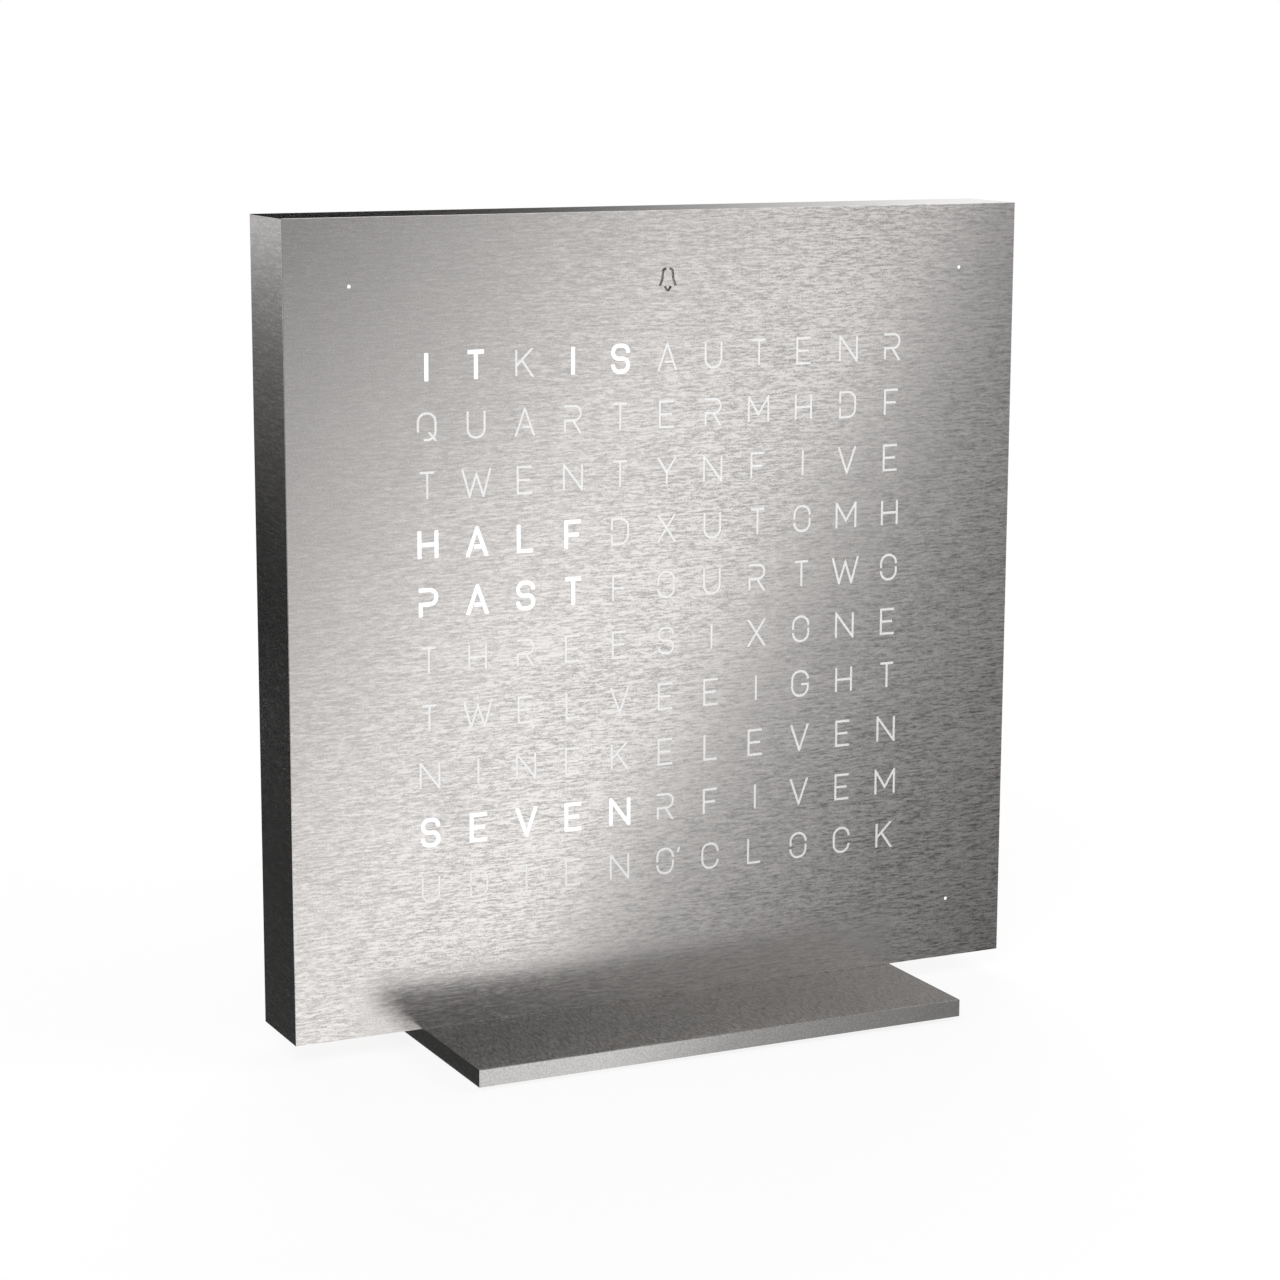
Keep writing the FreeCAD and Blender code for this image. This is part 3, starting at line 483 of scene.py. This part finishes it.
NODE_MATERIALS = {
    "front_cover": "cover_steel",
    "base_plate": "plate_steel",
    "cover_studs": "plated_steel",
    "clock_crystal": "plated_steel",
    "coin_cell": "plated_steel",
    "cell_clip": "plated_steel",
    "board_screws": "plated_steel",
    "power_socket": "plated_steel",
    "rear_screws": "screw_steel",
    "base_screws": "screw_steel",
    "diffuser_sheet": "white_plastic",
    "light_grid": "white_plastic",
    "function_plunger": "white_plastic",
    "plus_plunger": "white_plastic",
    "minus_plunger": "white_plastic",
    "led_board": "board_laminate",
    "lamps": "lamp_body",
    "controller_chip": "black_resin",
    "driver_chips": "black_resin",
    "voltage_regulator": "black_resin",
    "socket_tongue": "black_resin",
    "button_switches": "black_resin",
    "board_capacitors": "can_aluminium",
    "stand_bar": "can_aluminium",
    "power_coil": "ferrite",
    "coin_cell_holder": "black_plastic",
    "buzzer": "black_plastic",
    "rear_cover": "black_plastic",
    "function_button": "button_plastic",
    "plus_button": "button_plastic",
    "minus_button": "button_plastic",
    "touch_spring": "spring_bronze",
    "base_pads": "pad_rubber",
}


def dress_nodes():
    """Give every piece of the frame its material."""
    made = materials()
    for name, piece in frame["nodes"].items():
        piece.data.materials.clear()
        piece.data.materials.append(made[NODE_MATERIALS[name]])


# ---------------------------------------------------------------- lit and unlit letters

GLOW_REACH = 0.13 * MM          # of the light past a slot's edge
GLOW_PROUD = 0.03 * MM
FILL_DEPTH = 0.05 * MM          # of the pale fill below the face
FILL_BACK = 0.9 * MM

# where an outline grows, corners that turn more than this are rounded, and no other moves
# further than LONGEST_MITRE times its edges
ROUNDED_TURN = math.radians(35)
LONGEST_MITRE = 2

# the signs in the rear buttons
MARK_LENGTH = 2.6 * MM
MARK_WIDTH = 0.6 * MM
MARK_FLOOR = 0.3 * MM           # below the button's end
MARK_TOP = 0.1 * MM
MARK_GAP = 0.02 * MM
DOT_SIDES = 32


def slot_outlines():
    """The outlines of the slots in the face, as lists of points across and up.

    They are the closed chains of edges where the flat front ends, without its outer edge."""
    cover = bmesh.new()
    cover.from_mesh(frame["nodes"]["front_cover"].data)
    bmesh.ops.remove_doubles(cover, verts=cover.verts, dist=WELD)
    front = [face for face in cover.faces
             if all(abs(corner.co.y - FACE_Y) < WELD for corner in face.verts)]
    in_front = set(front)
    neighbours = {}
    for face in front:
        for edge in face.edges:
            if sum(other in in_front for other in edge.link_faces) == 1:
                one, two = edge.verts
                neighbours.setdefault(one, []).append(two)
                neighbours.setdefault(two, []).append(one)
    outlines = []
    while neighbours:
        start, (here, _) = neighbours.popitem()
        outline = [start]
        while here is not start:
            outline.append(here)
            one, two = neighbours.pop(here)
            here = two if one is outline[-2] else one
        outlines.append([Vector((corner.co.x, corner.co.z)) for corner in outline])
    cover.free()
    # by their first points, from the lowest up and from left to right, in steps of 0.01 mm
    outlines.sort(key=lambda outline: (round(outline[0].y, 5), round(outline[0].x, 5)))
    return [outline for outline in outlines if width_of(outline) < FACE_WIDTH / 2]


def width_of(outline):
    """How far the outline reaches from left to right."""
    return max(point.x for point in outline) - min(point.x for point in outline)


def middle_of(outline):
    """The middle of the outline's box."""
    low = Vector((min(point.x for point in outline), min(point.y for point in outline)))
    high = Vector((max(point.x for point in outline), max(point.y for point in outline)))
    return (low + high) / 2


def cell_at(point):
    """The column and row of a point in the grid of letters, as numbers with fractions."""
    column = point.x / COLUMN_PITCH + LAST_COLUMN / 2
    row = (FACE_MIDDLE.z - GRID_DROP - point.y) / ROW_PITCH + LAST_ROW / 2
    return column, row


def sort_outlines():
    """The slots' outlines in three lists: lit words, lit dots and unlit, without the alarm sign."""
    words, dots, unlit = [], [], []
    for outline in slot_outlines():
        middle = middle_of(outline)
        column, row = cell_at(middle)
        if not -0.5 < column < LAST_COLUMN + 0.5:
            corner = (math.copysign(1, middle.x), math.copysign(1, middle.y - FACE_MIDDLE.z))
            (dots if corner in LIT_DOTS else unlit).append(outline)
        elif row > -0.5:
            is_lit = round(column) in LIT_WORDS.get(round(row), ())
            (words if is_lit else unlit).append(outline)
    return words, dots, unlit


def turned_left(outline):
    """The outline with its points in counter-clockwise order."""
    area = sum(one.cross(two) for one, two in zip(outline, outline[1:] + outline[:1]))
    return outline if area > 0 else outline[::-1]


def grown(outline, by):
    """The outline moved outwards, with its outer corners rounded."""
    outline = turned_left(outline)
    moved = []
    for place, here in enumerate(outline):
        ahead = (outline[(place + 1) % len(outline)] - here).normalized()
        behind = (here - outline[place - 1]).normalized()
        first = Vector((behind.y, -behind.x))
        last = Vector((ahead.y, -ahead.x))
        middle = (first + last).normalized()
        if behind.cross(ahead) > 0 and first.dot(last) < math.cos(ROUNDED_TURN):
            round_corner = (first, (first + middle).normalized(), middle,
                            (middle + last).normalized(), last)
            moved += [here + side * by for side in round_corner]
        else:
            moved.append(here + middle * (by / max(middle.dot(first), 1 / LONGEST_MITRE)))
    return moved


def flat_pieces(name, outlines, grow, front_y, back_y, material, body="clock"):
    """One mesh of flat plates with these outlines, from front_y back to back_y."""
    made = bmesh.new()
    for outline in outlines:
        points = grown(outline, grow) if grow else turned_left(outline)
        front = made.faces.new([made.verts.new((p.x, front_y, p.y)) for p in points])
        back = bmesh.ops.extrude_face_region(made, geom=[front])
        moved = [part for part in back["geom"] if isinstance(part, bmesh.types.BMVert)]
        bmesh.ops.translate(made, verts=moved, vec=(0, back_y - front_y, 0))
    bmesh.ops.recalc_face_normals(made, faces=made.faces)
    bmesh.ops.triangulate(made, faces=made.faces)
    piece = added_mesh(name, made)
    piece.data.materials.append(material)
    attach(piece, body)


def letters():
    """The light in the lit words and dots, and the pale fill of the other slots, with a painted glow.
    """
    words, dots, unlit = sort_outlines()
    light = glowing("lit_white", 0.5, 0.62, tinge=(0.93, 0.96, 1.0))
    # the unlit fill gives off a faint painted glow, though its lamps are off
    pale = glowing("unlit_white_painted_glow", 0.825, 0.05, mirror=0.3)
    flat_pieces("lit_words", words, GLOW_REACH, FACE_Y - GLOW_PROUD, FACE_Y + GLOW_PROUD, light)
    flat_pieces("lit_dots", dots, 0, FACE_Y + FILL_DEPTH, FACE_Y + FILL_BACK, light)
    flat_pieces("unlit_words", unlit, 0, FACE_Y + FILL_DEPTH, FACE_Y + FILL_BACK, pale)


def button_marks():
    """The pale fill of the signs sunk into the rear buttons: a dot, a plus and a minus."""
    paint = moulded("mark_paint", (0.6, 0.6, 0.59), (0.7, 0.7, 0.69), 0.5, texture=0.15 * MM,
                    depth=0.004 * MM)
    long, short = MARK_LENGTH / 2, MARK_WIDTH / 2
    arm = [Vector((long, short)), Vector((short, short)), Vector((short, long))]
    plus = [Matrix.Rotation(turn * math.pi / 2, 2) @ point for turn in range(4) for point in arm]
    minus = [Vector((-long, -short)), Vector((long, -short)),
             Vector((long, short)), Vector((-long, short))]
    turns = [side * math.tau / DOT_SIDES for side in range(DOT_SIDES)]
    dot = [Vector((math.cos(turn), math.sin(turn))) * MARK_WIDTH for turn in turns]
    for sign, outline in (("function", dot), ("plus", plus), ("minus", minus)):
        low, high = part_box(sign + "_button")
        middle = Vector(((low.x + high.x) / 2, (low.z + high.z) / 2))
        flat_pieces(sign + "_mark", [[middle + point for point in outline]], -MARK_GAP,
                    high.y - MARK_TOP, high.y - MARK_FLOOR, paint, body=sign + "_key")


# ---------------------------------------------------------------- what the steel reflects

FLOOR_GAP = 0.3 * MM            # of a reflector above the floor
LOWEST_SHOWN = cover_low.z * 0.3    # height beside the cover from which reflectors are laid out


def mirrored(point, normal, reach):
    """Where the camera's view of a point on a flat mirror goes on to, kept above the floor."""
    ray = (point - CAMERA_PLACE).normalized()
    ray -= 2 * ray.dot(normal) * normal
    if ray.z < 0:
        reach = min(reach, (point.z - FLOOR_GAP) / -ray.z)
    return point + ray * reach


def reflector(name, point_at, columns, rows, every=1):
    """A curved sheet that only reflections see. point_at places it for u and v from 0 to 1.

    It has every column, or every second one."""
    made = bmesh.new()
    grid = [[made.verts.new(point_at(u / columns, v / rows)) for u in range(columns + 1)]
            for v in range(rows + 1)]
    layer = made.loops.layers.uv.new("sheet")
    for v in range(rows):
        for u in range(0, columns, every):
            face = made.faces.new((grid[v][u], grid[v][u + 1], grid[v + 1][u + 1], grid[v + 1][u]))
            for loop, (du, dv) in zip(face.loops, ((0, 0), (1, 0), (1, 1), (0, 1))):
                loop[layer].uv = ((u + du) / columns, (v + dv) / rows)
    sheet = added_mesh(name, made)
    sheet.visible_camera = False
    sheet.visible_diffuse = False
    sheet.visible_shadow = False
    sheet.visible_transmission = False
    return sheet


class Shade(Nodes):
    """The brightness of a reflector: an emission that varies over its sheet."""

    def __init__(self, sheet):
        material = bpy.data.materials.new(sheet.name)
        material.use_nodes = True
        material.cycles.emission_sampling = "NONE"
        super().__init__(material.node_tree)
        self.tree.nodes.clear()
        sheet.data.materials.append(material)
        self.uv = self.node("UVMap", uv_map="sheet").outputs[0]

    def along(self, start, end):
        """0 at the sheet's point start and 1 at the point end, in the sheet's u and v."""
        way = Vector(end) - Vector(start)
        step = way / way.length_squared
        return self.measure("DOT_PRODUCT", self.vector("SUBTRACT", self.uv, (*start, 0)), (*step, 0))

    def product(self, first, *others):
        """The greys multiplied."""
        for other in others:
            first = self.node("MixRGB", {0: 1.0, 1: first, 2: other}, blend_type="MULTIPLY").outputs[0]
        return first

    def show(self, colour, one_sided=False):
        """Shine from both sides, or only from the side that the sheet's faces look to."""
        light = self.node("Emission", {"Color": colour, "Strength": 1.0}).outputs[0]
        if one_sided:
            away = self.node("NewGeometry").outputs["Backfacing"]
            clear = self.node("BsdfTransparent").outputs[0]
            light = self.node("MixShader", {0: away, 1: light, 2: clear}).outputs[0]
        self.node("OutputMaterial", {"Surface": light})


def face_reflector():
    """What the face reflects: a bright band from the lower left to the upper right."""
    margin = 0.35               # past the face's sides and top, as a share of its size
    reach = 160 * MM
    width = (1 + 2 * margin) * FACE_WIDTH
    height = (1 + margin) * FACE_HEIGHT

    def point_at(u, v):
        point = Vector(((u - 0.5) * width, FACE_Y, LOWEST_SHOWN + v * height))
        return mirrored(point, Vector((0, -1, 0)), reach)

    shade = Shade(reflector("face_reflector", point_at, 24, 24))
    # the place on the face that shows this one, in mm from the middle of the cover's foot
    parts = shade.parts(shade.uv)
    x = shade.number("MULTIPLY_ADD", parts["X"], width / MM, -width / 2 / MM)
    z = shade.number("MULTIPLY_ADD", parts["Y"], height / MM, (LOWEST_SHOWN - cover_low.z) / MM)
    place = shade.node("CombineXYZ", {0: x, 1: z}).outputs[0]
    from_start = shade.vector("SUBTRACT", place, (BAND_START, 0, 0))

    def graded(direction, low, high, stops):
        """Brightness along a direction of the face, from stops in mm."""
        return shade.graph(shade.measure("DOT_PRODUCT", from_start, (*direction, 0)), low, high, stops)

    band = graded((math.sin(BAND_SLOPE), -math.cos(BAND_SLOPE)), -125, 125, [
        (-120, 0.2), (-100, 0.28), (-82, 0.36), (-60, 0.54), (-42, 0.7), (-24, 0.88), (-8, 1.04),
        (8, 1.08), (20, 1.02), (30, 0.78), (40, 0.51), (55, 0.385), (70, 0.3), (99, 0.18), (125, 0.13)])
    upward = graded((math.cos(BAND_SLOPE), math.sin(BAND_SLOPE)), 0, 200,
                    [(0, 1.0), (80, 0.98), (160, 0.78), (200, 0.72)])
    sideways = graded((1, 0), 0, 134, [(0, 0.92), (22, 0.95), (50, 1.0), (134, 1.0)])
    rise = graded((0, 1), 0, 150, [(0, 1.0), (112, 1.0), (130, 0.93), (150, 0.9)])
    corner = graded((1, 0.6), 0, 215, [(0, 1.0), (150, 1.0), (177, 0.95), (195, 0.88), (215, 0.76)])
    shade.show(shade.product(band, upward, sideways, rise, corner))


def wall_reflector():
    """What the left wall reflects: dark in the middle, lighter at its top and bottom."""
    reach = 200 * MM
    before, depth = 120 * MM, 240 * MM
    height = 1.2 * FACE_HEIGHT

    def point_at(u, v):
        point = Vector((cover_low.x, FACE_Y - before + u * depth, LOWEST_SHOWN + v * height))
        return mirrored(point, Vector((-1, 0, 0)), reach)

    shade = Shade(reflector("wall_reflector", point_at, 8, 24))
    up = shade.along((0, 0), (0, 1))
    shade.show(shade.profile(up, [(0, 0.042), (0.2, 0.036), (0.4, 0.026), (0.5, 0.03), (0.6, 0.055),
                                  (0.69, 0.115), (0.75, 0.2), (0.8, 0.36), (0.86, 0.61), (1, 0.92)]))


def corner_reflector():
    """A grey sheet before the left front edge, between the sheets that the wall and face show."""
    reach = 200 * MM
    height = 250 * MM

    def point_at(u, v):
        angle = math.radians(90 + u * 90)
        return Vector((cover_low.x + reach * math.cos(angle), FACE_Y - reach * math.sin(angle),
                       FLOOR_GAP + v * height))

    shade = Shade(reflector("corner_reflector", point_at, 12, 1))
    up = shade.along((0, 0), (0, 1))
    shade.show(shade.profile(up, [(0, 0.1), (0.5, 0.15), (1, 0.45)]))


def right_reflector():
    """A sheet beside the right wall that grows lighter upwards."""
    x = cover_high.x + 180 * MM
    depth, height = 500 * MM, 400 * MM

    def point_at(u, v):
        return Vector((x, (u - 0.5) * depth, FLOOR_GAP + v * height))

    shade = Shade(reflector("right_reflector", point_at, 2, 2))
    rise = shade.along((0, 0), (0.6, 1))
    shade.show(shade.profile(rise, [(0, 0.3), (0.3, 0.5), (0.7, 0.85), (1, 1.0)]))


def top_reflector():
    """What the top reflects: dark at its left and white at its right."""
    left, right = 1.3, 0.4      # of the sheet past the top's ends, in face widths
    width = 1 + left + right
    reach, height = 300 * MM, 1600 * MM

    def point_at(u, v):
        x = cover_low.x + (u * width - left) * FACE_WIDTH
        foot = mirrored(Vector((x, 0, cover_high.z)), Vector((0, 0, 1)), reach)
        return Vector((foot.x, foot.y, v * height))

    shade = Shade(reflector("top_reflector", point_at, 24, 4))
    along = shade.along((left / width, 0), ((left + 1) / width, 0))
    shade.show(shade.profile(along, [(0, 0), (0.15, 0.006), (0.3, 0.05), (0.42, 0.14), (0.52, 0.29),
                                     (0.65, 0.5), (0.8, 0.76), (0.9, 0.93), (1, 1.1)]))


def plate_flag():
    """A grey sheet over the plate's front, seen only from below: it shades the plate's top."""
    left, right = -120 * MM, 260 * MM
    before, behind = -165 * MM, -33 * MM
    height = 30 * MM

    def point_at(u, v):
        return Vector((left + u * (right - left), behind + v * (before - behind), height))

    shade = Shade(reflector("plate_flag", point_at, 2, 2))
    to_right = shade.along((0, 0), (1, 0))
    grey = shade.profile(to_right, [(0, 0.03), (0.3, 0.09), (0.38, 0.16), (0.46, 0.26), (0.52, 0.34),
                                    (0.59, 0.42), (1, 0.5)])
    shade.show(grey, one_sided=True)


def plate_side_slats():
    """Dark slats beside the plate's left edge. What looks along it to the front sees past them."""
    first, last, pitch = -33 * MM, 30 * MM, 1.5 * MM
    length, height = 2 * pitch, 5 * MM
    near = plate_low.x - 0.2 * MM
    far = near - length * math.tan(math.radians(40))
    columns = 2 * round((last - first) / pitch) - 1

    def point_at(u, v):
        slat, at_end = divmod(round(u * columns), 2)
        y = first + slat * pitch + at_end * length
        return Vector((near if at_end else far, y, FLOOR_GAP + v * height))

    shade = Shade(reflector("plate_side_slats", point_at, columns, 1, every=2))
    shade.show((0.055, 0.055, 0.055, 1), one_sided=True)


# ---------------------------------------------------------------- stage and light

FLOOR_SIZE = 4.0                # half the length of its side
FLOOR_WHITE = 0.86              # share of plain white in the floor beside the clock
SHADOW_FADE = (0.1575, 0.45)    # from the origin, where the floor turns plain white
WORLD_LIGHT = 0.55

LAMP_SIZE = 0.8
LAMPS = {                       # places and watts
    "key": (Vector((-0.7, -0.9, 0.9)), 9),
    "fill": (Vector((0.9, -0.5, 0.6)), 4),
    "rear": (Vector((0.4, 0.9, 0.8)), 7),
}


def stage_surface():
    """A pale floor that reads white to the camera, and keeps a soft shadow."""
    made = Surface("stage_floor")
    patches = made.noise((0.4, 0.4, 0.4))
    made.set(Base_Color=made.tint(patches, (0.9, 0.9, 0.9), (0.93, 0.93, 0.93)),
             Roughness=0.9, Specular_IOR_Level=0.1)
    distance = made.measure("LENGTH", made.place)
    white = made.span(distance, SHADOW_FADE, (FLOOR_WHITE, 1.0))
    share = made.number("MULTIPLY", made.in_view(), white)
    light = made.node("Emission", {"Color": (1, 1, 1, 1), "Strength": 1.0}).outputs[0]
    mixed = made.node("MixShader", {0: share, 1: made.shader.outputs[0], 2: light}).outputs[0]
    made.put(made.tree.nodes["Material Output"].inputs["Surface"], mixed)
    return made.material


def floor():
    """The flat floor that the clock stands on."""
    made = bmesh.new()
    bmesh.ops.create_grid(made, x_segments=2, y_segments=2, size=FLOOR_SIZE)
    ground = added_mesh("floor", made)
    ground.data.materials.append(stage_surface())


def lamp(name, place, power):
    """A soft square lamp that looks at the clock, and that reflections don't see."""
    data = bpy.data.lights.new(name, "AREA")
    data.size = LAMP_SIZE
    data.energy = power
    made = added(name, data)
    made.location = place
    made.rotation_mode = "QUATERNION"
    made.rotation_quaternion = (FACE_MIDDLE - place).to_track_quat("-Z", "Y")
    made.visible_glossy = False
    made.visible_camera = False


def world():
    """Even white light, which the camera, reflections and glass see as plain white."""
    made = bpy.data.worlds.new("studio")
    made.use_nodes = True
    made.cycles.sampling_method = "NONE"
    bpy.context.scene.world = made
    nodes = Nodes(made.node_tree)
    back = nodes.tree.nodes["Background"]
    nodes.put(back.inputs["Color"], (1, 1, 1, 1))
    nodes.put(back.inputs["Strength"], nodes.span(nodes.in_view(), (0, 1), (WORLD_LIGHT, 1.0)))


def camera():
    """The camera, which looks at the clock from the front left and a little above."""
    data = bpy.data.cameras.new("camera")
    data.lens = CAMERA_LENS
    data.sensor_width = CAMERA_FRAME
    made = added("camera", data)
    back = Vector((math.sin(CAMERA_AZIMUTH) * math.cos(CAMERA_ELEVATION),
                   -math.cos(CAMERA_AZIMUTH) * math.cos(CAMERA_ELEVATION),
                   math.sin(CAMERA_ELEVATION)))
    made.location = CAMERA_PLACE
    made.rotation_mode = "QUATERNION"
    made.rotation_quaternion = (-back).to_track_quat("-Z", "Y") @ Quaternion((0, 0, 1), CAMERA_ROLL)
    bpy.context.scene.camera = made


dress_nodes()
letters()
button_marks()
floor()
world()
face_reflector()
wall_reflector()
corner_reflector()
right_reflector()
top_reflector()
plate_flag()
plate_side_slats()
for lamp_name, (lamp_place, lamp_power) in LAMPS.items():
    lamp(lamp_name, lamp_place, lamp_power)
camera()
bpy.context.scene.view_settings.view_transform = "Standard"
